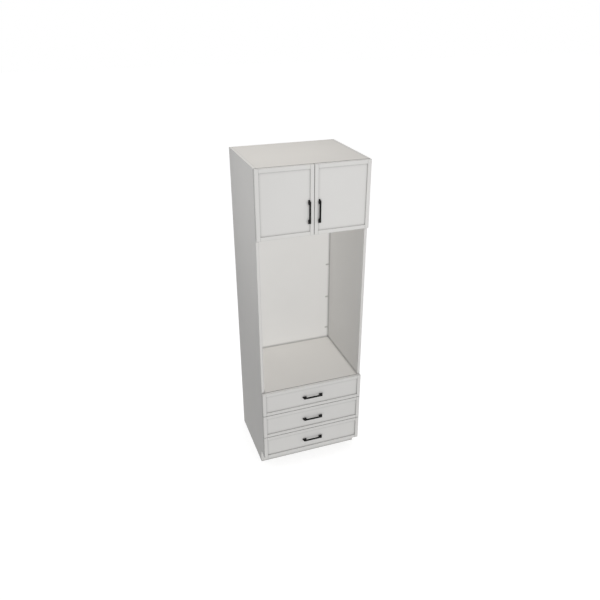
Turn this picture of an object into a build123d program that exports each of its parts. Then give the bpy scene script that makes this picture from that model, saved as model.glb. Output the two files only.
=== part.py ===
from build123d import *
import math
import os

os.makedirs("parts", exist_ok=True)

# Tall oven cabinet, in millimetres. X runs to the right, Y to the back, Z up.
# The origin is on the floor, in the middle of the whole cabinet with its pulls.

# Carcass
overall_width = 762.0
carcass_depth = 609.6
board = 19.0
back_board = 16.0
toe_height = 106.0
toe_depth = 76.2
drawer_zone_height = 584.0  # from the toe recess to the top face of the shelf under the oven
oven_opening_height = 1155.0
door_zone_height = 455.0  # from the underside of the upper deck to the top

# Fronts
front_thickness = 19.0
front_gap = 3.2  # between the back of a closed front and the carcass edges
side_reveal = 0.8
top_reveal = 1.6
seam = 3.2  # between neighbouring fronts
frame_width = 25.4
recess = 6.0  # from the frame's face to the centre panel's face
ledge = 8.0  # the frame's lip that the centre panel is glued behind
arris = 0.6  # bevel of the painted edges

# Pulls
pull_length = 156.0  # over the feet, where they stand on the panel
pull_width = 11.0
pull_reach = 25.0
pull_bar = 8.0
pull_foot = 28.0
pull_splay = 8.0  # how far a foot runs out past the end of the bar
pull_inner_radius = 3.0
pull_outer_radius = 2.0
pull_edge = 0.8
pull_foot_gap = 1.5  # from the meeting stile to the foot of a door's pull
pull_rise = 75.0  # from a door's lower edge to the lower end of its pull
pull_screw_radius = 2.0
pull_screw_grip = 9.0  # how far a screw enters the foot

# Drawers
drawer_count = 3
box_lift = 22.0  # from a front's lower edge to the box's lower edge
box_drop = 29.5  # from a front's upper edge to the box's upper edge
box_wall = 15.9
box_bottom = 6.4
bottom_groove = 6.0
bottom_lift = 12.0  # from the box's lower edge to the bottom's underside
front_screw_inset_x = 60.0
front_screw_inset_z = 30.0
front_screw_radius = 2.0
front_screw_grip = 10.0

# Drawer runners, each of a cabinet member, a middle member and a drawer member
runner_setback = 2.0  # from the carcass edge
runner_end_space = 32.8  # behind the runner, to the back panel
runner_space = 12.7  # between a side panel and a drawer box
runner_height = 45.7
runner_sheet = 1.2
runner_mouth = 2.0  # from the flanges to the far side of the runner's space
middle_flange = 3.0
drawer_flange = 1.6
runner_screw_radius = 2.0
runner_screw_head = 3.6
runner_screw_grip = 10.0
runner_screw_inset = 40.0

# Cup hinges
cup_end_inset = 90.0  # from the door's upper and lower edge to a cup's middle
cup_radius = 17.5
cup_edge = 5.0  # from the door's outer edge to the cup's rim
cup_depth = 10.5
cup_wall = 1.5
cup_floor = 0.8
flange_thickness = 1.2
flange_rim = 1.5
flange_height = 52.0
flange_width = 16.0
link_pin_inset = 31.6  # from the door's outer edge, with the door closed
link_pin_depth = 13.1  # from the door's face
link_pin_radius = 1.3
link_elbow_inset = 12.9
link_elbow_depth = 11.6
link_tip_inset = 11.1
link_tip_depth = 14.3
link_thickness = 2.4
link_height = 8.0
arm_height = 14.0
arm_thickness = 5.2
arm_length = 62.0  # behind the carcass edge
plate_setback = 37.0  # from the carcass edge to the line of plate screws
plate_screw_spacing = 32.0
plate_height = 50.0
plate_width = 16.0
plate_thickness = 2.5
plate_screw_radius = 2.5
plate_screw_head = 4.2
plate_screw_grip = 11.0

# Door bumpers
bumper_radius = 4.0
bumper_play = 0.3
bumper_inset_x = 12.0
bumper_inset_z = 8.0

# Dowels and panel connectors
dowel_radius = 4.0
dowel_length = 30.0
dowel_in_side = 11.0
dowel_inset = 60.0  # from the front edge and from the back panel
toe_dowel_inset = 30.0
connector_length = 30.0
connector_width = 10.0
connector_depth = 9.0
connector_proud = 0.6
connector_screw_radius = 2.5
connector_screw_length = 12.0
deck_connector_inset = 110.0
back_connector_first = 221.0
back_connector_pitch = 280.0
back_connector_end = 60.0  # least height left above the last one

# Holes for the screws into the wall
wall_hole_radius = 2.75
wall_hole_spacing = 406.4
wall_hole_top_inset = 120.0  # below the top panel
wall_hole_low_inset = 110.0  # above the bottom deck

# Heads of the screws of the pulls and of the drawer fronts
screw_head_radius = 4.0
screw_head_height = 2.2

# Clearances
moving_play = 0.3  # between pieces that slide or turn past each other
screw_play = 0.15
hole_play = 0.1
pin_play = 0.05

# Places that follow from the sizes
half_width = overall_width / 2
inner_half = half_width - board
front_half = half_width - side_reveal
total_depth = carcass_depth + front_gap + front_thickness - recess + pull_reach
back_y = total_depth / 2
inner_back_y = back_y - back_board
carcass_y = back_y - carcass_depth
front_back_y = carcass_y - front_gap
front_y = front_back_y - front_thickness
panel_y = front_y + recess
toe_y = carcass_y + toe_depth
deck_top = toe_height + board
shelf_height = toe_height + drawer_zone_height
upper_deck_z = shelf_height + oven_opening_height
overall_height = upper_deck_z + door_zone_height
top_z = overall_height - board
drawer_pitch = drawer_zone_height / drawer_count
front_height = drawer_pitch - seam
box_height = front_height - box_lift - box_drop
runner_y = carcass_y + runner_setback
runner_end_y = inner_back_y - runner_end_space
box_half = inner_half - runner_space
pull_screw_x = (pull_length - pull_foot) / 2
sides = {"left": -1, "right": 1}


def block(x_range, y_range, z_range):
    """A box between three pairs of coordinates, each in either order."""
    middle = [(a + b) / 2 for a, b in (x_range, y_range, z_range)]
    size = [abs(b - a) for a, b in (x_range, y_range, z_range)]
    return Pos(*middle) * Box(*size)


def rod(start, direction, radius, length, end_radius=None):
    """A round bar from a point along a direction, or a cone where it has an end radius."""
    align = (Align.CENTER, Align.CENTER, Align.MIN)
    shape = Cylinder(radius, length, align=align)
    if end_radius is not None:
        shape = Cone(radius, end_radius, length, align=align)
    return Plane(origin=start, z_dir=direction) * shape


def around(middle, width):
    """The pair of coordinates that lie half a width on each side of a middle."""
    return middle - width / 2, middle + width / 2


def cut(shape, tools):
    """A shape less each of a list of tools."""
    for tool in tools:
        shape -= tool
    return shape


def save(name, *shapes):
    """Writes one node, which is one solid or a group of separate ones."""
    solids = [solid for shape in shapes for solid in shape.solids()]
    node = solids[0] if len(solids) == 1 else Compound(solids)
    export_step(node, f"parts/{name}.step")


# Decks and shelves, each by the height of its underside and the place of its back edge
decks = {
    "bottom_deck": (toe_height, back_y),
    "oven_shelf": (shelf_height - board, inner_back_y),
    "upper_deck": (upper_deck_z, inner_back_y),
    "top_panel": (top_z, back_y),
}


# Dowels, which run from a side panel into the end of a deck or of the toe board
def dowel(y, z, side, play=0.0):
    start = (side * (inner_half + dowel_in_side + play), y, z)
    return rod(start, (-side, 0, 0), dowel_radius + play, dowel_length + 2 * play)


def dowel_places():
    places = []
    for deck_z, _ in decks.values():
        places.append((carcass_y + dowel_inset, deck_z + board / 2))
        places.append((inner_back_y - dowel_inset, deck_z + board / 2))
    places.append((toe_y + board / 2, toe_dowel_inset))
    places.append((toe_y + board / 2, toe_height - toe_dowel_inset))
    return places


def all_dowels(side, play=0.0):
    return [dowel(y, z, side, play) for y, z in dowel_places()]


# Panel connectors: a slim housing let into a panel's face beside the side panel, with a screw into it
def connector(anchor, side, inward, play=0.0):
    straight = connector_length - connector_width / 2
    outline = Pos(-straight / 2, 0) * Rectangle(straight, connector_width + 2 * play)
    outline += Pos(-straight, 0) * Circle(connector_width / 2 + play)
    housing = extrude(outline, amount=connector_depth + connector_proud + play)
    middle = connector_depth / 2
    screw = rod((0, 0, middle), (1, 0, 0), connector_screw_radius + play, connector_screw_length + play)
    shape = Pos(0, 0, -connector_proud) * housing + screw
    return Plane(origin=anchor, x_dir=(side, 0, 0), z_dir=inward) * shape


def deck_connectors(side, play=0.0):
    found = []
    for deck_z, _ in decks.values():
        for y in (carcass_y + deck_connector_inset, inner_back_y - deck_connector_inset):
            found.append(connector((side * inner_half, y, deck_z), side, (0, 0, 1), play))
    return found


def back_connectors(side, play=0.0):
    found = []
    room = top_z - back_connector_end - back_connector_first
    for i in range(int(room // back_connector_pitch) + 1):
        z = back_connector_first + i * back_connector_pitch
        found.append(connector((side * inner_half, inner_back_y, z), side, (0, 1, 0), play))
    return found


# Screws with a countersunk head, flush in a sheet, from a point along a direction
def flush_screw(start, direction, radius, head, sheet, grip, play=0.0):
    shank = rod(start, direction, radius + play, sheet + grip + play)
    return shank + rod(start, direction, head + play, sheet, radius + play)


# Screws with a round flat head that lies behind the starting point
def head_screw(start, direction, radius, length):
    back = tuple(-value for value in direction)
    return rod(start, direction, radius, length) + rod(start, back, screw_head_radius, screw_head_height)


# Hinge places and hinges
door_low = upper_deck_z + seam / 2
door_high = overall_height - top_reveal
hinge_heights = (door_low + cup_end_inset, door_high - cup_end_inset)
pin_y = front_y + link_pin_depth


def hinge_x(side, inset):
    """The place across the cabinet that lies an inset from a door's outer edge."""
    return side * (front_half - inset)


def plate_screws(side, play=0.0):
    found = []
    for height in hinge_heights:
        for z in around(height, plate_screw_spacing):
            start = (side * (inner_half - plate_thickness), carcass_y + plate_setback, z)
            sizes = (plate_screw_radius, plate_screw_head, plate_thickness, plate_screw_grip)
            found.append(flush_screw(start, (side, 0, 0), *sizes, play))
    return found


def hinge_plate(side, z):
    """The plate on the side panel, with the block that lifts the arm off it."""
    arm_x = hinge_x(side, link_pin_inset)
    near_face = arm_x + side * arm_thickness / 2
    face = side * inner_half
    wing_y = around(carcass_y + plate_setback, plate_width)
    wing = block((face, face - side * plate_thickness), wing_y, around(z, plate_height))
    rise_y = (carcass_y + plate_setback - plate_width / 2, carcass_y + arm_length)
    rise = block((face, near_face), rise_y, around(z, arm_height))
    return cut(wing + rise, plate_screws(side, screw_play))


def link_pin(side, z, play=0.0):
    start = (hinge_x(side, link_pin_inset), pin_y, z - arm_height / 2)
    return rod(start, (0, 0, 1), link_pin_radius + play, arm_height)


def hinge_arm(side, z):
    """The arm, whose forked nose reaches into the cup and holds the link's pin."""
    arm_x = hinge_x(side, link_pin_inset)
    eye = arm_thickness / 2
    shape = block(around(arm_x, arm_thickness), (pin_y, carcass_y + arm_length), around(z, arm_height))
    shape += rod((arm_x, pin_y, z - arm_height / 2), (0, 0, 1), eye, arm_height)
    slot_height = link_height + 2 * moving_play
    slot_y = (pin_y - arm_thickness, pin_y + eye + moving_play)
    shape -= block(around(arm_x, 2 * arm_thickness), slot_y, around(z, slot_height))
    return shape - link_pin(side, z, pin_play)


def bar_outline(start, end):
    """The outline of a flat bar with round ends, between two points."""
    way = end - start
    angle = math.degrees(math.atan2(way.Y, way.X))
    return Pos(start + way / 2) * Rot(0, 0, angle) * SlotCenterToCenter(way.length, link_thickness)


def hinge_link(side, z):
    """The hooked link, from the eye on the arm's pin round the cup's rim to a tip in the cup."""
    pin = Vector(hinge_x(side, link_pin_inset), pin_y)
    elbow = Vector(hinge_x(side, link_elbow_inset), front_y + link_elbow_depth)
    tip = Vector(hinge_x(side, link_tip_inset), front_y + link_tip_depth)
    outline = bar_outline(pin, elbow) + bar_outline(elbow, tip)
    outline += Pos(pin) * Circle(arm_thickness / 2 - moving_play)
    shape = Pos(0, 0, z) * extrude(outline, amount=link_height / 2, both=True)
    return shape - link_pin(side, z, moving_play)


def cup_pocket(side, z, play=0.0):
    start = (hinge_x(side, cup_edge + cup_radius), front_back_y - cup_depth - play, z)
    return rod(start, (0, 1, 0), cup_radius + play, cup_depth + play)


def hinge_cup(side, z):
    cup_x = hinge_x(side, cup_edge + cup_radius)
    flange_y = (front_back_y, front_back_y + flange_thickness)
    shape = cup_pocket(side, z)
    shape += rod((cup_x, front_back_y, z), (0, 1, 0), cup_radius + flange_rim, flange_thickness)
    shape += block(around(cup_x, flange_width), flange_y, around(z, flange_height))
    hollow = (cup_x, front_back_y - cup_depth + cup_floor, z)
    return shape - rod(hollow, (0, 1, 0), cup_radius - cup_wall, cup_depth + flange_thickness)


# Five-piece fronts: stiles over the full height, rails between them, a panel glued in from behind
def bevelled(shape):
    """A front piece with its face's edges bevelled."""
    face = shape.faces().sort_by(Axis.Y)[0]
    return chamfer(face.edges(), arris)


def stile(x_outer, x_inner, z_range):
    toward = 1 if x_inner > x_outer else -1
    shape = block((x_outer, x_inner), (front_y, front_back_y), z_range)
    step = block((x_inner - toward * ledge, x_inner), (panel_y, front_back_y), z_range)
    return bevelled(shape - step)


def rail(x_range, z_outer, z_inner):
    """A rail between the stiles, whose back runs on into the steps of the stiles."""
    toward = 1 if z_inner > z_outer else -1
    wide = (x_range[0] - ledge, x_range[1] + ledge)
    shape = bevelled(block(x_range, (front_y, front_back_y), (z_outer, z_inner)))
    shape += block(wide, (panel_y, front_back_y), (z_outer, z_inner))
    return shape - block(wide, (panel_y, front_back_y), (z_inner - toward * ledge, z_inner))


def five_piece_front(x_range, z_range):
    """The stiles, the rails and the centre panel of one front."""
    x_low, x_high = x_range
    z_low, z_high = z_range
    inner_x = (x_low + frame_width, x_high - frame_width)
    inner_z = (z_low + frame_width, z_high - frame_width)
    stiles = [stile(x_low, inner_x[0], z_range), stile(x_high, inner_x[1], z_range)]
    rails = [rail(inner_x, z_low, inner_z[0]), rail(inner_x, z_high, inner_z[1])]
    panel_x = (inner_x[0] - ledge, inner_x[1] + ledge)
    panel_z = (inner_z[0] - ledge, inner_z[1] + ledge)
    return stiles, rails, block(panel_x, (panel_y, front_back_y), panel_z)


# Pulls, drawn with their feet on the plane Y = 0 and their length along X
def pull():
    gap_reach = pull_reach - pull_bar
    foot_end = pull_length / 2
    bar_end = foot_end - pull_splay
    corners = [(-foot_end, 0), (foot_end, 0), (bar_end, -pull_reach), (-bar_end, -pull_reach)]
    outline = make_face(Polyline(*corners, close=True))
    outline = fillet(outline.vertices().group_by(Axis.Y)[0], pull_outer_radius)
    gap = Pos(0, -gap_reach / 2) * Rectangle(pull_length - 2 * pull_foot, gap_reach)
    gap = fillet(gap.vertices().group_by(Axis.Y)[0], pull_inner_radius)
    shape = extrude(outline - gap, amount=pull_width / 2, both=True)
    rims = shape.edges().group_by(Axis.Z)
    shape = chamfer((rims[0] + rims[-1]).filter_by(lambda edge: edge.center().Y < -pull_edge), pull_edge)
    holes = [rod((x, 0, 0), (0, -1, 0), pull_screw_radius + pin_play, pull_screw_grip + screw_play)
             for x in (-pull_screw_x, pull_screw_x)]
    return cut(shape, holes)


def pull_screws(backing):
    """The screws of a pull, whose heads lie behind the panel and its backing."""
    depth = front_thickness - recess + backing
    return [head_screw((x, depth, 0), (0, -1, 0), pull_screw_radius, depth + pull_screw_grip)
            for x in (-pull_screw_x, pull_screw_x)]


def pull_holes(backing):
    depth = front_thickness - recess + backing
    return [rod((x, 0, 0), (0, 1, 0), pull_screw_radius + screw_play, depth)
            for x in (-pull_screw_x, pull_screw_x)]


# Carcass
def side_panel(side):
    x_range = (side * inner_half, side * half_width)
    shape = block(x_range, (carcass_y, back_y), (0, overall_height))
    shape -= block(x_range, (carcass_y, toe_y), (0, toe_height))
    tools = all_dowels(side, hole_play) + deck_connectors(side, hole_play)
    tools += back_connectors(side, hole_play) + plate_screws(side, screw_play)
    for number in range(1, drawer_count + 1):
        tools += cabinet_screws(number, side, screw_play)
    return cut(shape, tools)


def deck(deck_z, deck_back):
    shape = block((-inner_half, inner_half), (carcass_y, deck_back), (deck_z, deck_z + board))
    for side in sides.values():
        shape = cut(shape, all_dowels(side, hole_play) + deck_connectors(side, hole_play))
    return shape


def toe_board():
    shape = block((-inner_half, inner_half), (toe_y, toe_y + board), (0, toe_height))
    for side in sides.values():
        shape = cut(shape, all_dowels(side, hole_play))
    return shape


def back_panel():
    shape = block((-inner_half, inner_half), (inner_back_y, back_y), (deck_top, top_z))
    for side in sides.values():
        shape = cut(shape, back_connectors(side, hole_play))
    for z in (deck_top + wall_hole_low_inset, top_z - wall_hole_top_inset):
        for x in around(0, wall_hole_spacing):
            shape -= rod((x, inner_back_y, z), (0, 1, 0), wall_hole_radius, back_board)
    return shape


# Drawer runners
def front_low(number):
    """The lower edge of a drawer's front. The drawers are numbered from the top."""
    return toe_height + (drawer_count - number) * drawer_pitch + seam / 2


def runner_z(number):
    return front_low(number) + box_lift + box_height / 2


def channel(side, web_x, mouth_x, half_height, flange, web, z):
    """A channel along the cabinet, with its web at one side and its flanges towards the other."""
    y_range = (runner_y, runner_end_y)
    x_web = (side * web_x, side * (web_x + (web if mouth_x > web_x else -web)))
    x_flange = (side * web_x, side * mouth_x)
    shape = block(x_web, y_range, around(z, 2 * half_height))
    for sign in (-1, 1):
        shape += block(x_flange, y_range, (z + sign * half_height, z + sign * (half_height - flange)))
    return shape


def cabinet_screws(number, side, play=0.0):
    found = []
    ends = (runner_y + runner_screw_inset, runner_end_y - runner_screw_inset)
    for y in (ends[0], sum(ends) / 2, ends[1]):
        start = (side * (inner_half - runner_sheet), y, runner_z(number))
        sizes = (runner_screw_radius, runner_screw_head, runner_sheet, runner_screw_grip)
        found.append(flush_screw(start, (side, 0, 0), *sizes, play))
    return found


def cabinet_member(number, side):
    mouth = box_half + runner_mouth
    z = runner_z(number)
    shape = channel(side, inner_half, mouth, runner_height / 2, runner_sheet, runner_sheet, z)
    return cut(shape, cabinet_screws(number, side, pin_play))


def middle_member(number, side):
    web = inner_half - runner_sheet - moving_play
    half_height = runner_height / 2 - runner_sheet - moving_play
    z = runner_z(number)
    return channel(side, web, box_half + runner_mouth, half_height, middle_flange, runner_sheet, z)


def box_screws(number, side, play=0.0):
    found = []
    for y in (runner_y + runner_screw_inset, runner_end_y - runner_screw_inset):
        start = (side * (box_half + runner_sheet), y, runner_z(number))
        sizes = (runner_screw_radius, runner_screw_head, runner_sheet, runner_screw_grip)
        found.append(flush_screw(start, (-side, 0, 0), *sizes, play))
    return found


def drawer_member(number, side):
    mouth = inner_half - 2 * runner_sheet - 2 * moving_play
    half_height = runner_height / 2 - runner_sheet - middle_flange - 2 * moving_play
    shape = channel(side, box_half, mouth, half_height, drawer_flange, runner_sheet, runner_z(number))
    return cut(shape, box_screws(number, side, pin_play))


# Drawer boxes
def box_bottom_panel(number):
    x = box_half - box_wall + bottom_groove
    y_low = front_back_y + box_wall - bottom_groove
    y_high = runner_end_y - box_wall + bottom_groove
    z = front_low(number) + box_lift + bottom_lift
    return block((-x, x), (y_low, y_high), (z, z + box_bottom))


def front_screw_places(number):
    """Where the screws start, inside the box, that run into the back of the centre panel."""
    z_low = front_low(number) + box_lift
    heights = (z_low + front_screw_inset_z, z_low + box_height - front_screw_inset_z)
    inset_x = box_half - front_screw_inset_x
    return [(x, front_back_y + box_wall, z) for x in (-inset_x, inset_x) for z in heights]


def front_screws(number):
    reach = box_wall + front_screw_grip
    return [head_screw(place, (0, -1, 0), front_screw_radius, reach) for place in front_screw_places(number)]


def front_screw_holes(number):
    radius = front_screw_radius + screw_play
    reach = box_wall + front_screw_grip + screw_play
    return [rod(place, (0, -1, 0), radius, reach) for place in front_screw_places(number)]


def box_side(number, side):
    z = front_low(number) + box_lift
    x_range = (side * (box_half - box_wall), side * box_half)
    shape = block(x_range, (front_back_y, runner_end_y), (z, z + box_height))
    return cut(shape - box_bottom_panel(number), box_screws(number, side, screw_play))


def box_ends(number):
    z = front_low(number) + box_lift
    x_range = (box_half - box_wall, -(box_half - box_wall))
    found = []
    for y_range in ((front_back_y, front_back_y + box_wall), (runner_end_y - box_wall, runner_end_y)):
        found.append(block(x_range, y_range, (z, z + box_height)) - box_bottom_panel(number))
    return found


def write_carcass():
    for name, side in sides.items():
        save(f"side_panel_{name}", side_panel(side))
    for name, (deck_z, deck_back) in decks.items():
        save(name, deck(deck_z, deck_back))
    save("back_panel", back_panel())
    save("toe_kick_board", toe_board())
    both = list(sides.values())
    numbers = range(1, drawer_count + 1)
    save("panel_dowels", *[shape for side in both for shape in all_dowels(side)])
    save("deck_connectors", *[shape for side in both for shape in deck_connectors(side)])
    save("back_connectors", *[shape for side in both for shape in back_connectors(side)])
    save("hinge_plates", *[hinge_plate(side, z) for side in both for z in hinge_heights])
    save("hinge_arms", *[hinge_arm(side, z) for side in both for z in hinge_heights])
    save("hinge_pins", *[link_pin(side, z) for side in both for z in hinge_heights])
    save("cabinet_runners", *[cabinet_member(number, side) for number in numbers for side in both])
    screws = [shape for side in both for shape in plate_screws(side)]
    screws += [shape for number in numbers for side in both for shape in cabinet_screws(number, side)]
    save("fixing_screws", *screws)


def write_door(name, side):
    prefix = f"door_{name}"
    x_range = sorted((side * front_half, side * seam / 2))
    stiles, rails, panel = five_piece_front(x_range, (door_low, door_high))
    pockets = [cup_pocket(side, z, screw_play) for z in hinge_heights]
    pull_x = side * (seam / 2 + frame_width + pull_foot_gap + pull_width / 2)
    pull_z = door_low + pull_rise + pull_length / 2
    place = Pos(pull_x, panel_y, pull_z) * Rot(0, 90, 0)
    save(f"{prefix}_stiles", *[cut(piece, pockets) for piece in stiles])
    save(f"{prefix}_rails", *rails)
    save(f"{prefix}_panel", cut(panel, pockets + [place * hole for hole in pull_holes(0)]))
    save(f"{prefix}_pull", place * pull())
    save(f"{prefix}_pull_screws", *[place * screw for screw in pull_screws(0)])
    save(f"{prefix}_hinge_cups", *[hinge_cup(side, z) for z in hinge_heights])
    save(f"{prefix}_hinge_links", *[hinge_link(side, z) for z in hinge_heights])
    bumper_x = side * (seam / 2 + bumper_inset_x)
    bumpers = [rod((bumper_x, front_back_y, z), (0, 1, 0), bumper_radius, front_gap - bumper_play)
               for z in (door_low + bumper_inset_z, door_high - bumper_inset_z)]
    save(f"{prefix}_bumpers", *bumpers)


def write_drawer(number):
    prefix = f"drawer_{number}"
    z_low = front_low(number)
    z_high = z_low + front_height
    stiles, rails, panel = five_piece_front((-front_half, front_half), (z_low, z_high))
    place = Pos(0, panel_y, (z_low + z_high) / 2)
    holes = [place * hole for hole in pull_holes(box_wall)] + front_screw_holes(number)
    both = list(sides.values())
    save(f"{prefix}_front_frame", *stiles, *rails)
    save(f"{prefix}_front_panel", cut(panel, holes))
    save(f"{prefix}_pull", place * pull())
    screws = [place * screw for screw in pull_screws(box_wall)] + front_screws(number)
    screws += [screw for side in both for screw in box_screws(number, side)]
    save(f"{prefix}_screws", *screws)
    front_end, back_end = box_ends(number)
    save(f"{prefix}_box_sides", *[box_side(number, side) for side in both])
    save(f"{prefix}_box_ends", cut(front_end, holes), back_end)
    save(f"{prefix}_box_bottom", box_bottom_panel(number))
    save(f"{prefix}_box_runners", *[drawer_member(number, side) for side in both])
    save(f"{prefix}_middle_runners", *[middle_member(number, side) for side in both])


write_carcass()
for name, side in sides.items():
    write_door(name, side)
for number in range(1, drawer_count + 1):
    write_drawer(number)
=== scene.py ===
# Tall oven cabinet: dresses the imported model, lights it and frames it for a studio picture.
import bpy
import math
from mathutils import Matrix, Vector

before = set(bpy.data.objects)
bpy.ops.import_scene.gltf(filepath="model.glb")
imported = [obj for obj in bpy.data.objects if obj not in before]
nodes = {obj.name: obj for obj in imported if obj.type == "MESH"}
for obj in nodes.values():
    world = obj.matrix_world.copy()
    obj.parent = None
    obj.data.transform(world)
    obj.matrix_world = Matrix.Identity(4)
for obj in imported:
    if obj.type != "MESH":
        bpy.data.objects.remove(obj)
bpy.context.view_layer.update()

scene = bpy.context.scene
print("frame loaded:", len(nodes), "nodes")


def toLinear(hexColour):
    # sRGB hex to the linear values that the shaders want
    channels = [int(hexColour[i:i + 2], 16) / 255 for i in (1, 3, 5)]
    return [c / 12.92 if c <= 0.04045 else ((c + 0.055) / 1.055) ** 2.4 for c in channels] + [1.0]


def grains(sizeInMm):
    # noise scale for pattern cells of a real size, on coordinates in metres
    return 1000 / sizeInMm


def metres(lengthInMm):
    return lengthInMm / 1000


def addNode(tree, kind, settings, links):
    # settings are sockets by name or number, or the node's own properties
    node = tree.nodes.new(kind)
    for name, value in settings.items():
        if isinstance(name, int) or name in node.inputs:
            node.inputs[name].default_value = value
        else:
            setattr(node, name, value)
    for name, source in links.items():
        tree.links.new(source, node.inputs[name])
    return node


def startMaterial(name):
    # an empty material with its Principled shader wired to the output
    material = bpy.data.materials.new(name)
    material.use_nodes = True
    tree = material.node_tree
    tree.nodes.clear()
    shader = addNode(tree, "ShaderNodeBsdfPrincipled", {}, {})
    addNode(tree, "ShaderNodeOutputMaterial", {}, {"Surface": shader.outputs["BSDF"]})
    place = addNode(tree, "ShaderNodeTexCoord", {}, {}).outputs["Object"]
    return material, tree, shader, place


def wireSurface(tree, shader, colour, roughness, height, relief):
    # every finish ends in a colour, a roughness and a fine relief
    bump = addNode(tree, "ShaderNodeBump",
                   {"Strength": relief["strength"], "Distance": metres(relief["depthMm"])},
                   {"Height": height})
    tree.links.new(colour, shader.inputs["Base Color"])
    tree.links.new(roughness, shader.inputs["Roughness"])
    tree.links.new(bump.outputs[0], shader.inputs["Normal"])


# A noise texture rarely leaves the middle of its range, so patterns that need full contrast start here.
noiseRange = {"From Min": 0.3, "From Max": 0.7}


# Sprayed matt polyurethane lacquer on fibreboard: an even, slightly milky coat. Up close it has the soft
# ripple that a spray gun leaves. Painted shade darkens it where two faces meet, and a painted shade along
# every sharp edge makes each joint between two pieces show as a fine line.
lacquer = {
    "board": "#D8D7D5",
    "deck": "#D8D6D3",  # the lying boards are painted a shade warmer, for the warmer light that falls on them from above
    "front": "#D8D7D5",
    "roughness": 0.55,
    "roughnessSpread": 0.05,
    "wipedMm": 70.0,  # patches that a cloth left a little glossier
    "ior": 1.5,
    "gloss": 0.25,  # a matt lacquer reflects less than its index alone would give
    "rippleMm": 3.0,  # real orange peel is 1 to 2 mm; drawn a little coarser so that it shows
    "ripple": {"strength": 1.0, "depthMm": 0.012},
    "cloudMm": 260.0,
    "cloudShare": 0.008,
    # painted shade in corners and recesses: how far it reaches and how steeply it darkens
    "cornerShadeReachMm": 20.0,
    "cornerShadePower": 0.85,
    "cornerShadeSamples": 16,
    "edgeShadeMm": 4.5,  # painted shade along sharp edges, standing in for the shade in each joint; a joint line is under 1 mm wide, drawn coarser so that it shows
    "edgeShadeLevel": 0.72,
    "edgeShadeTurn": {"From Min": 0.9, "From Max": 0.997},  # cosines of an edge's turn: full painted edge shade, and none
    "edgeShadeSamples": 8,
}


def lacquerMaterial(name, colour, paintedEdgeShade=True):
    # the painted edge shade is off for the centre panels, whose edges all lie behind their frames
    material, tree, shader, place = startMaterial(name)
    shader.inputs["IOR"].default_value = lacquer["ior"]
    shader.inputs["Specular IOR Level"].default_value = lacquer["gloss"]
    cloud = addNode(tree, "ShaderNodeTexNoise", {"Scale": grains(lacquer["cloudMm"]), "Detail": 3.0},
                    {"Vector": place})
    shade = addNode(tree, "ShaderNodeMapRange",
                    {**noiseRange, "To Min": 1 - lacquer["cloudShare"], "To Max": 1 + lacquer["cloudShare"]},
                    {"Value": cloud.outputs["Fac"]})
    # painted shade where two faces meet: the colour darkens as ambient occlusion rises
    nook = addNode(tree, "ShaderNodeAmbientOcclusion",
                   {"Distance": metres(lacquer["cornerShadeReachMm"]), "samples": lacquer["cornerShadeSamples"]}, {})
    cornerShade = addNode(tree, "ShaderNodeMath", {"operation": "POWER", 1: lacquer["cornerShadePower"]},
                   {0: nook.outputs["AO"]})
    both = addNode(tree, "ShaderNodeMath", {"operation": "MULTIPLY"},
                   {0: shade.outputs[0], 1: cornerShade.outputs[0]})
    # painted shade along sharp edges: darker where the rounded normal turns away from the flat one
    if paintedEdgeShade:
        rounded = addNode(tree, "ShaderNodeBevel",
                          {"Radius": metres(lacquer["edgeShadeMm"]), "samples": lacquer["edgeShadeSamples"]}, {})
        flat = addNode(tree, "ShaderNodeNewGeometry", {}, {})
        turned = addNode(tree, "ShaderNodeVectorMath", {"operation": "DOT_PRODUCT"},
                         {0: rounded.outputs[0], 1: flat.outputs["Normal"]})
        edgeShadeMask = addNode(tree, "ShaderNodeMapRange",
                        {**lacquer["edgeShadeTurn"], "To Min": lacquer["edgeShadeLevel"]},
                        {"Value": turned.outputs["Value"]})
        both = addNode(tree, "ShaderNodeMath", {"operation": "MULTIPLY"},
                       {0: both.outputs[0], 1: edgeShadeMask.outputs[0]})
    tint = addNode(tree, "ShaderNodeVectorMath", {"operation": "SCALE", 0: toLinear(colour)[:3]},
                   {"Scale": both.outputs[0]})
    wiped = addNode(tree, "ShaderNodeTexNoise",
                    {"Scale": grains(lacquer["wipedMm"]), "Detail": 4.0, "Roughness": 0.6}, {"Vector": place})
    sheen = addNode(tree, "ShaderNodeMapRange",
                    {"To Min": lacquer["roughness"] - lacquer["roughnessSpread"],
                     "To Max": lacquer["roughness"] + lacquer["roughnessSpread"]},
                    {"Value": wiped.outputs["Fac"]})
    ripple = addNode(tree, "ShaderNodeTexNoise", {"Scale": grains(lacquer["rippleMm"]), "Detail": 1.0},
                     {"Vector": place})
    wireSurface(tree, shader, tint.outputs[0], sheen.outputs[0], ripple.outputs["Fac"], lacquer["ripple"])
    return material


# Matt black powder coat baked on steel: dull and deep, with a fine sandy skin.
powderCoat = {
    "colour": "#0A0A0A",
    "roughness": 0.6,
    "roughnessSpread": 0.08,
    "wornMm": 14.0,  # patches that hands have polished a little
    "ior": 1.5,
    "gloss": 0.12,
    "grainMm": 0.9,
    "grainEdge": 0.8,  # how far from its middle a grain reaches, in grains
    "grainShade": {"To Min": 0.85, "To Max": 1.2},
    "grain": {"strength": 1.0, "depthMm": 0.03},
}


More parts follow.
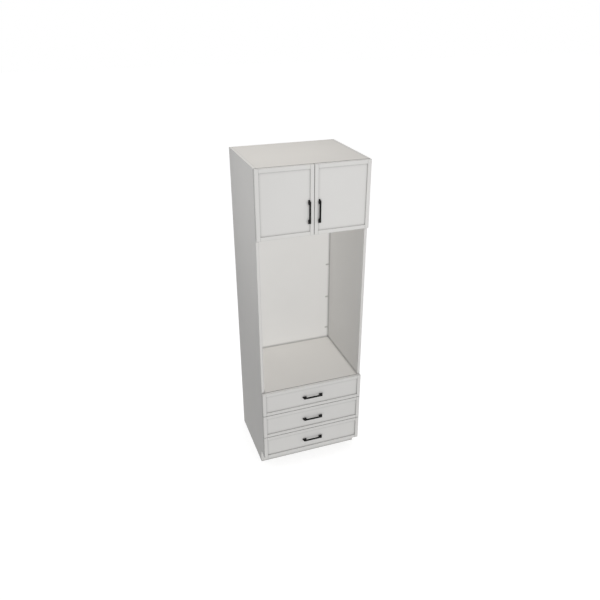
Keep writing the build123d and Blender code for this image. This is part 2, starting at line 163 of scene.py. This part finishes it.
def powderCoatMaterial():
    material, tree, shader, place = startMaterial("matt_black_powder_coat")
    shader.inputs["IOR"].default_value = powderCoat["ior"]
    shader.inputs["Specular IOR Level"].default_value = powderCoat["gloss"]
    grain = addNode(tree, "ShaderNodeTexVoronoi", {"Scale": grains(powderCoat["grainMm"])}, {"Vector": place})
    shade = addNode(tree, "ShaderNodeMapRange",
                    {"From Max": powderCoat["grainEdge"], **powderCoat["grainShade"]},
                    {"Value": grain.outputs["Distance"]})
    tint = addNode(tree, "ShaderNodeVectorMath",
                   {"operation": "SCALE", 0: toLinear(powderCoat["colour"])[:3]},
                   {"Scale": shade.outputs[0]})
    worn = addNode(tree, "ShaderNodeTexNoise", {"Scale": grains(powderCoat["wornMm"]), "Detail": 3.0},
                   {"Vector": place})
    dull = addNode(tree, "ShaderNodeMapRange",
                   {"To Min": powderCoat["roughness"] - powderCoat["roughnessSpread"],
                    "To Max": powderCoat["roughness"] + powderCoat["roughnessSpread"]},
                   {"Value": worn.outputs["Fac"]})
    wireSurface(tree, shader, tint.outputs[0], dull.outputs[0], grain.outputs["Distance"],
                powderCoat["grain"])
    return material


# Steels of the hardware. Rolled strip has fine lines along its length; plating on small parts is cloudier.
steels = {
    "zincPlatedStrip": {"colour": "#C3C7CA", "roughness": 0.34, "lineMm": 0.6, "stretch": (1.0, 0.02, 1.0)},
    "nickelPlatedSteel": {"colour": "#CFCBC2", "roughness": 0.26, "lineMm": 1.6, "stretch": (1.0, 1.0, 0.35)},
    "zincPlatedScrew": {"colour": "#BFC3C5", "roughness": 0.32, "lineMm": 1.2, "stretch": (1.0, 1.0, 1.0)},
}
plating = {
    "blotchMm": 22.0,
    "blotchShade": {"To Min": 0.9, "To Max": 1.06},
    "smoother": 0.08,  # how far the roughness falls and rises along the lines
    "rougher": 0.1,
    "line": {"strength": 0.5, "depthMm": 0.01},
}


def steelMaterial(name):
    finish = steels[name]
    material, tree, shader, place = startMaterial(name)
    shader.inputs["Metallic"].default_value = 1.0
    along = addNode(tree, "ShaderNodeMapping", {"Scale": finish["stretch"]}, {"Vector": place})
    lines = addNode(tree, "ShaderNodeTexNoise",
                    {"Scale": grains(finish["lineMm"]), "Detail": 4.0, "Roughness": 0.65},
                    {"Vector": along.outputs[0]})
    blotch = addNode(tree, "ShaderNodeTexNoise", {"Scale": grains(plating["blotchMm"]), "Detail": 3.0},
                     {"Vector": place})
    shade = addNode(tree, "ShaderNodeMapRange", plating["blotchShade"], {"Value": blotch.outputs["Fac"]})
    tint = addNode(tree, "ShaderNodeVectorMath", {"operation": "SCALE", 0: toLinear(finish["colour"])[:3]},
                   {"Scale": shade.outputs[0]})
    gloss = addNode(tree, "ShaderNodeMapRange",
                    {**noiseRange, "To Min": finish["roughness"] - plating["smoother"],
                     "To Max": finish["roughness"] + plating["rougher"]},
                    {"Value": lines.outputs["Fac"]})
    wireSurface(tree, shader, tint.outputs[0], gloss.outputs[0], lines.outputs["Fac"], plating["line"])
    return material


# Beech and birch: close, even wood. Long faint streaks follow the grain, and short dark flecks lie in it.
woods = {
    "clearLacqueredBirch": {"light": "#E6CFA9", "dark": "#D2B588", "roughness": 0.4, "streakMm": 7.0},
    "plainBeech": {"light": "#D9B48A", "dark": "#C09468", "roughness": 0.6, "streakMm": 2.0},
}
woodFigure = {
    "streakWidth": 0.045,  # streaks run about twenty times as long as they are wide
    "flecksPerStreak": 6,
    "fleckShare": 0.3,
    "darkFrom": 0.45,
    "lightFrom": 0.85,
    "ior": 1.5,
    "smoother": 0.06,
    "rougher": 0.08,
    "fleck": {"strength": 0.6, "depthMm": 0.04},
}


def woodMaterial(wood, grainAxis):
    finish = woods[wood]
    material, tree, shader, place = startMaterial(f"{wood}_{'XYZ'[grainAxis]}")
    shader.inputs["IOR"].default_value = woodFigure["ior"]
    stretch = [1.0, 1.0, 1.0]
    stretch[grainAxis] = woodFigure["streakWidth"]
    along = addNode(tree, "ShaderNodeMapping", {"Scale": stretch}, {"Vector": place})
    streaks = addNode(tree, "ShaderNodeTexNoise",
                      {"Scale": grains(finish["streakMm"]), "Detail": 5.0, "Roughness": 0.6,
                       "Distortion": 0.4},
                      {"Vector": along.outputs[0]})
    flecks = addNode(tree, "ShaderNodeTexNoise",
                     {"Scale": grains(finish["streakMm"] / woodFigure["flecksPerStreak"]), "Detail": 2.0},
                     {"Vector": along.outputs[0]})
    mixed = addNode(tree, "ShaderNodeMath", {"operation": "MULTIPLY_ADD", 1: woodFigure["fleckShare"]},
                    {0: flecks.outputs["Fac"], 2: streaks.outputs["Fac"]})
    ramp = addNode(tree, "ShaderNodeValToRGB", {}, {"Fac": mixed.outputs[0]})
    dark, light = ramp.color_ramp.elements
    dark.position = woodFigure["darkFrom"]
    dark.color = toLinear(finish["dark"])
    light.position = woodFigure["lightFrom"]
    light.color = toLinear(finish["light"])
    satin = addNode(tree, "ShaderNodeMapRange",
                    {"To Min": finish["roughness"] - woodFigure["smoother"],
                     "To Max": finish["roughness"] + woodFigure["rougher"]},
                    {"Value": streaks.outputs["Fac"]})
    wireSurface(tree, shader, ramp.outputs["Color"], satin.outputs[0], flecks.outputs["Fac"],
                woodFigure["fleck"])
    return material


# Moulded plastics. The glass-filled nylon of the panel connectors is an even grey with faint specks, and the
# soft clear polyurethane of the bumpers is milky and lets some light through.
plastics = {
    "greyNylon": {"colour": "#A6A5A1", "roughness": 0.5, "ior": 1.53, "grainMm": 0.8, "transmission": 0.0},
    "clearPolyurethane": {"colour": "#E8E8E4", "roughness": 0.25, "ior": 1.5, "grainMm": 2.0,
                          "transmission": 0.6},
}
mouldedSkin = {
    "grainShade": {"To Min": 0.94, "To Max": 1.05},
    "roughnessSpread": 0.05,
    "grain": {"strength": 0.4, "depthMm": 0.02},
}


def plasticMaterial(name):
    finish = plastics[name]
    material, tree, shader, place = startMaterial(name)
    shader.inputs["IOR"].default_value = finish["ior"]
    shader.inputs["Transmission Weight"].default_value = finish["transmission"]
    grain = addNode(tree, "ShaderNodeTexNoise", {"Scale": grains(finish["grainMm"]), "Detail": 2.0},
                    {"Vector": place})
    shade = addNode(tree, "ShaderNodeMapRange", mouldedSkin["grainShade"], {"Value": grain.outputs["Fac"]})
    tint = addNode(tree, "ShaderNodeVectorMath", {"operation": "SCALE", 0: toLinear(finish["colour"])[:3]},
                   {"Scale": shade.outputs[0]})
    rough = addNode(tree, "ShaderNodeMapRange",
                    {"To Min": finish["roughness"] - mouldedSkin["roughnessSpread"],
                     "To Max": finish["roughness"] + mouldedSkin["roughnessSpread"]},
                    {"Value": grain.outputs["Fac"]})
    wireSurface(tree, shader, tint.outputs[0], rough.outputs[0], grain.outputs["Fac"], mouldedSkin["grain"])
    return material


lacqueredBoard = lacquerMaterial("matt_lacquered_board", lacquer["board"])
# the lying boards get a warmer copy of the board lacquer: painted warm light from above
warmLitDeckLacquer = lacquerMaterial("matt_lacquered_deck_warm_lit", lacquer["deck"])
lacqueredFront = lacquerMaterial("matt_lacquered_front", lacquer["front"])
lacqueredCentre = lacquerMaterial("matt_lacquered_centre_panel", lacquer["front"], paintedEdgeShade=False)
blackCoat = powderCoatMaterial()
zincStrip = steelMaterial("zincPlatedStrip")
nickel = steelMaterial("nickelPlatedSteel")
zincScrew = steelMaterial("zincPlatedScrew")
birchAlong = woodMaterial("clearLacqueredBirch", 1)
birchAcross = woodMaterial("clearLacqueredBirch", 0)
beech = woodMaterial("plainBeech", 0)
nylon = plasticMaterial("greyNylon")
polyurethane = plasticMaterial("clearPolyurethane")
print("materials made:", len(bpy.data.materials))


# The first words that fit a node's name decide its finish; plain boards fit none of them.
finishes = {
    "screws": zincScrew, "hinge_pins": zincScrew, "pull": blackCoat, "runners": zincStrip, "hinge": nickel,
    "bumpers": polyurethane, "dowels": beech, "connectors": nylon,
    "box_ends": birchAcross, "box_": birchAlong,
    "left_panel": lacqueredCentre, "right_panel": lacqueredCentre, "front_panel": lacqueredCentre,
    "door_": lacqueredFront, "drawer_": lacqueredFront,
    "deck": warmLitDeckLacquer, "shelf": warmLitDeckLacquer, "top_panel": warmLitDeckLacquer,
}


def finishFor(name):
    return next((finish for words, finish in finishes.items() if words in name), lacqueredBoard)


# The boards get the small eased edges of sanded board. The fronts have theirs in the CAD model.
easedEdges = {
    "boards": ("side_panel", "deck", "shelf", "top_panel", "back_panel", "toe_kick", "box_sides", "box_ends"),
    "widthMm": 1.0,
    "steps": 2,
    "leastTurn": 40.0,  # degrees between two faces
    "cornerPlayMm": 0.02,  # corners this close are one corner
}


def easeEdges(node):
    joined = node.modifiers.new("joinedCorners", "WELD")
    joined.merge_threshold = metres(easedEdges["cornerPlayMm"])
    eased = node.modifiers.new("easedEdges", "BEVEL")
    eased.width = metres(easedEdges["widthMm"])
    eased.segments = easedEdges["steps"]
    eased.limit_method = "ANGLE"
    eased.angle_limit = math.radians(easedEdges["leastTurn"])


for name, node in nodes.items():
    node.data.materials.clear()
    node.data.materials.append(finishFor(name))
    if any(words in name for words in easedEdges["boards"]) and "connectors" not in name:
        easeEdges(node)
print("finishes given")


# Studio: a white floor that keeps a faint shadow, a white world, and broad lamps at a plain level
studio = {
    "floorSize": 60.0,
    "floorGlow": 0.865,
    "floorColour": 0.4,  # as the camera sees it
    "floorBounce": 0.8,  # as the object sees it: a white floor that sends light up into the oven bay
    "contactReach": 0.3,  # metres of floor round the base that the soft shadow covers
    "contactShade": 0.67,
    "contactSamples": 16,
    "ambient": 0.252,
}
# A lamp's size is a sun's angle in radians or a disk's width in metres. Only backSun casts a shadow.
lamps = {
    "frontSun": {"kind": "SUN", "place": (0, -1, 0.45), "power": 0.7, "size": 0.4},
    "rightSun": {"kind": "SUN", "place": (0.5, -1, 0.3), "power": 0.651, "size": 0.4},
    "midFront": {"kind": "AREA", "place": (-0.5, -2.5, 1.7), "aim": (0, 0, 1.4),
                 "power": 4.5, "size": 1.5},
    "closeFront": {"kind": "AREA", "place": (0.3, -1.7, 2.2), "aim": (0.3, 0, 1.9),
                   "power": 4.3, "size": 0.8},
    "closeLeft": {"kind": "AREA", "place": (-1.75, -0.3, 2.4), "aim": (0, 0, 1.9),
                  "power": 6.4, "size": 0.8},
    "overTop": {"kind": "AREA", "place": (-0.25, 0, 3.8), "aim": (0, 0, 1.7),
                "power": 11.2, "size": 0.8, "colour": (1.0, 0.97, 0.92)},  # a slightly warm lamp
    # level with the ground, for views from the right and from behind; it doesn't reach what the camera sees
    "backSun": {"kind": "SUN", "place": (0.75, 1, 0), "power": 1.8, "size": 0.05, "shadow": True},
}


def backgroundSeen(tree):
    # 1 where the background is seen straight, or through gloss or glass
    rays = addNode(tree, "ShaderNodeLightPath", {}, {})
    gloss = addNode(tree, "ShaderNodeMath", {"operation": "MAXIMUM"},
                    {0: rays.outputs["Is Glossy Ray"], 1: rays.outputs["Is Transmission Ray"]})
    return addNode(tree, "ShaderNodeMath", {"operation": "MAXIMUM"},
                   {0: rays.outputs["Is Camera Ray"], 1: gloss.outputs[0]}).outputs[0]


def floorMaterial():
    material = bpy.data.materials.new("whiteStudioFloor")
    material.use_nodes = True
    tree = material.node_tree
    tree.nodes.clear()
    seen = backgroundSeen(tree)
    grey = addNode(tree, "ShaderNodeMapRange",
                   {"To Min": studio["floorBounce"], "To Max": studio["floorColour"]}, {"Value": seen})
    matt = addNode(tree, "ShaderNodeBsdfDiffuse", {}, {"Color": grey.outputs[0]})
    glow = addNode(tree, "ShaderNodeMath", {"operation": "MULTIPLY", 1: studio["floorGlow"]}, {0: seen})
    nook = addNode(tree, "ShaderNodeAmbientOcclusion",
                   {"Distance": studio["contactReach"], "samples": studio["contactSamples"]}, {})
    contact = addNode(tree, "ShaderNodeMapRange", {"To Min": studio["contactShade"]},
                      {"Value": nook.outputs["AO"]})
    shaded = addNode(tree, "ShaderNodeMath", {"operation": "MULTIPLY"},
                     {0: glow.outputs[0], 1: contact.outputs[0]})
    light = addNode(tree, "ShaderNodeEmission", {}, {"Strength": shaded.outputs[0]})
    total = addNode(tree, "ShaderNodeAddShader", {}, {0: matt.outputs[0], 1: light.outputs[0]})
    addNode(tree, "ShaderNodeOutputMaterial", {}, {"Surface": total.outputs[0]})
    return material


def buildFloor():
    half = studio["floorSize"] / 2
    corners = [(-half, -half, 0), (half, -half, 0), (half, half, 0), (-half, half, 0)]
    mesh = bpy.data.meshes.new("studioFloor")
    mesh.from_pydata(corners, [], [(0, 1, 2, 3)])
    mesh.materials.append(floorMaterial())
    floor = bpy.data.objects.new("studioFloor", mesh)
    scene.collection.objects.link(floor)


def buildWorld():
    world = bpy.data.worlds.new("whiteStudio")
    scene.world = world
    world.use_nodes = True
    tree = world.node_tree
    tree.nodes.clear()
    strength = addNode(tree, "ShaderNodeMapRange", {"To Min": studio["ambient"], "To Max": 1.0},
                       {"Value": backgroundSeen(tree)})
    sky = addNode(tree, "ShaderNodeBackground", {"Color": (1.0, 1.0, 1.0, 1.0)},
                  {"Strength": strength.outputs[0]})
    addNode(tree, "ShaderNodeOutputWorld", {}, {"Surface": sky.outputs[0]})


def buildLamp(name, setting):
    lamp = bpy.data.lights.new(name, setting["kind"])
    if setting["kind"] == "SUN":
        lamp.angle = setting["size"]
    else:
        lamp.shape = "DISK"
        lamp.size = setting["size"]
    lamp.energy = setting["power"]
    lamp.color = setting.get("colour", (1.0, 1.0, 1.0))
    lamp.use_shadow = setting.get("shadow", False)
    stand = bpy.data.objects.new(name, lamp)
    scene.collection.objects.link(stand)
    stand.location = setting["place"]
    aim = Vector(setting.get("aim", (0, 0, 0))) - Vector(setting["place"])
    stand.rotation_euler = aim.to_track_quat("-Z", "Y").to_euler()
    stand.visible_camera = False


buildFloor()
buildWorld()
for name, setting in lamps.items():
    buildLamp(name, setting)
print("studio built")


# Camera: the photo's own place, worked out from the cabinet's straight edges
camera = {
    "place": (-1.26496, -3.64728, 3.18635),
    "turn": 19.651,  # degrees to the right of straight ahead
    "tilt": 27.007,  # degrees down
    "sensor": 36.0,
    "lens": 35.631,
    "shift": (-0.00599, 0.00328),
}


def buildCamera():
    data = bpy.data.cameras.new("camera")
    data.sensor_width = camera["sensor"]
    data.lens = camera["lens"]
    data.shift_x, data.shift_y = camera["shift"]
    data.dof.use_dof = False
    holder = bpy.data.objects.new("camera", data)
    scene.collection.objects.link(holder)
    holder.location = camera["place"]
    holder.rotation_euler = (math.radians(90 - camera["tilt"]), 0, -math.radians(camera["turn"]))
    scene.camera = holder


buildCamera()
scene.view_settings.view_transform = "Standard"
print("camera placed")
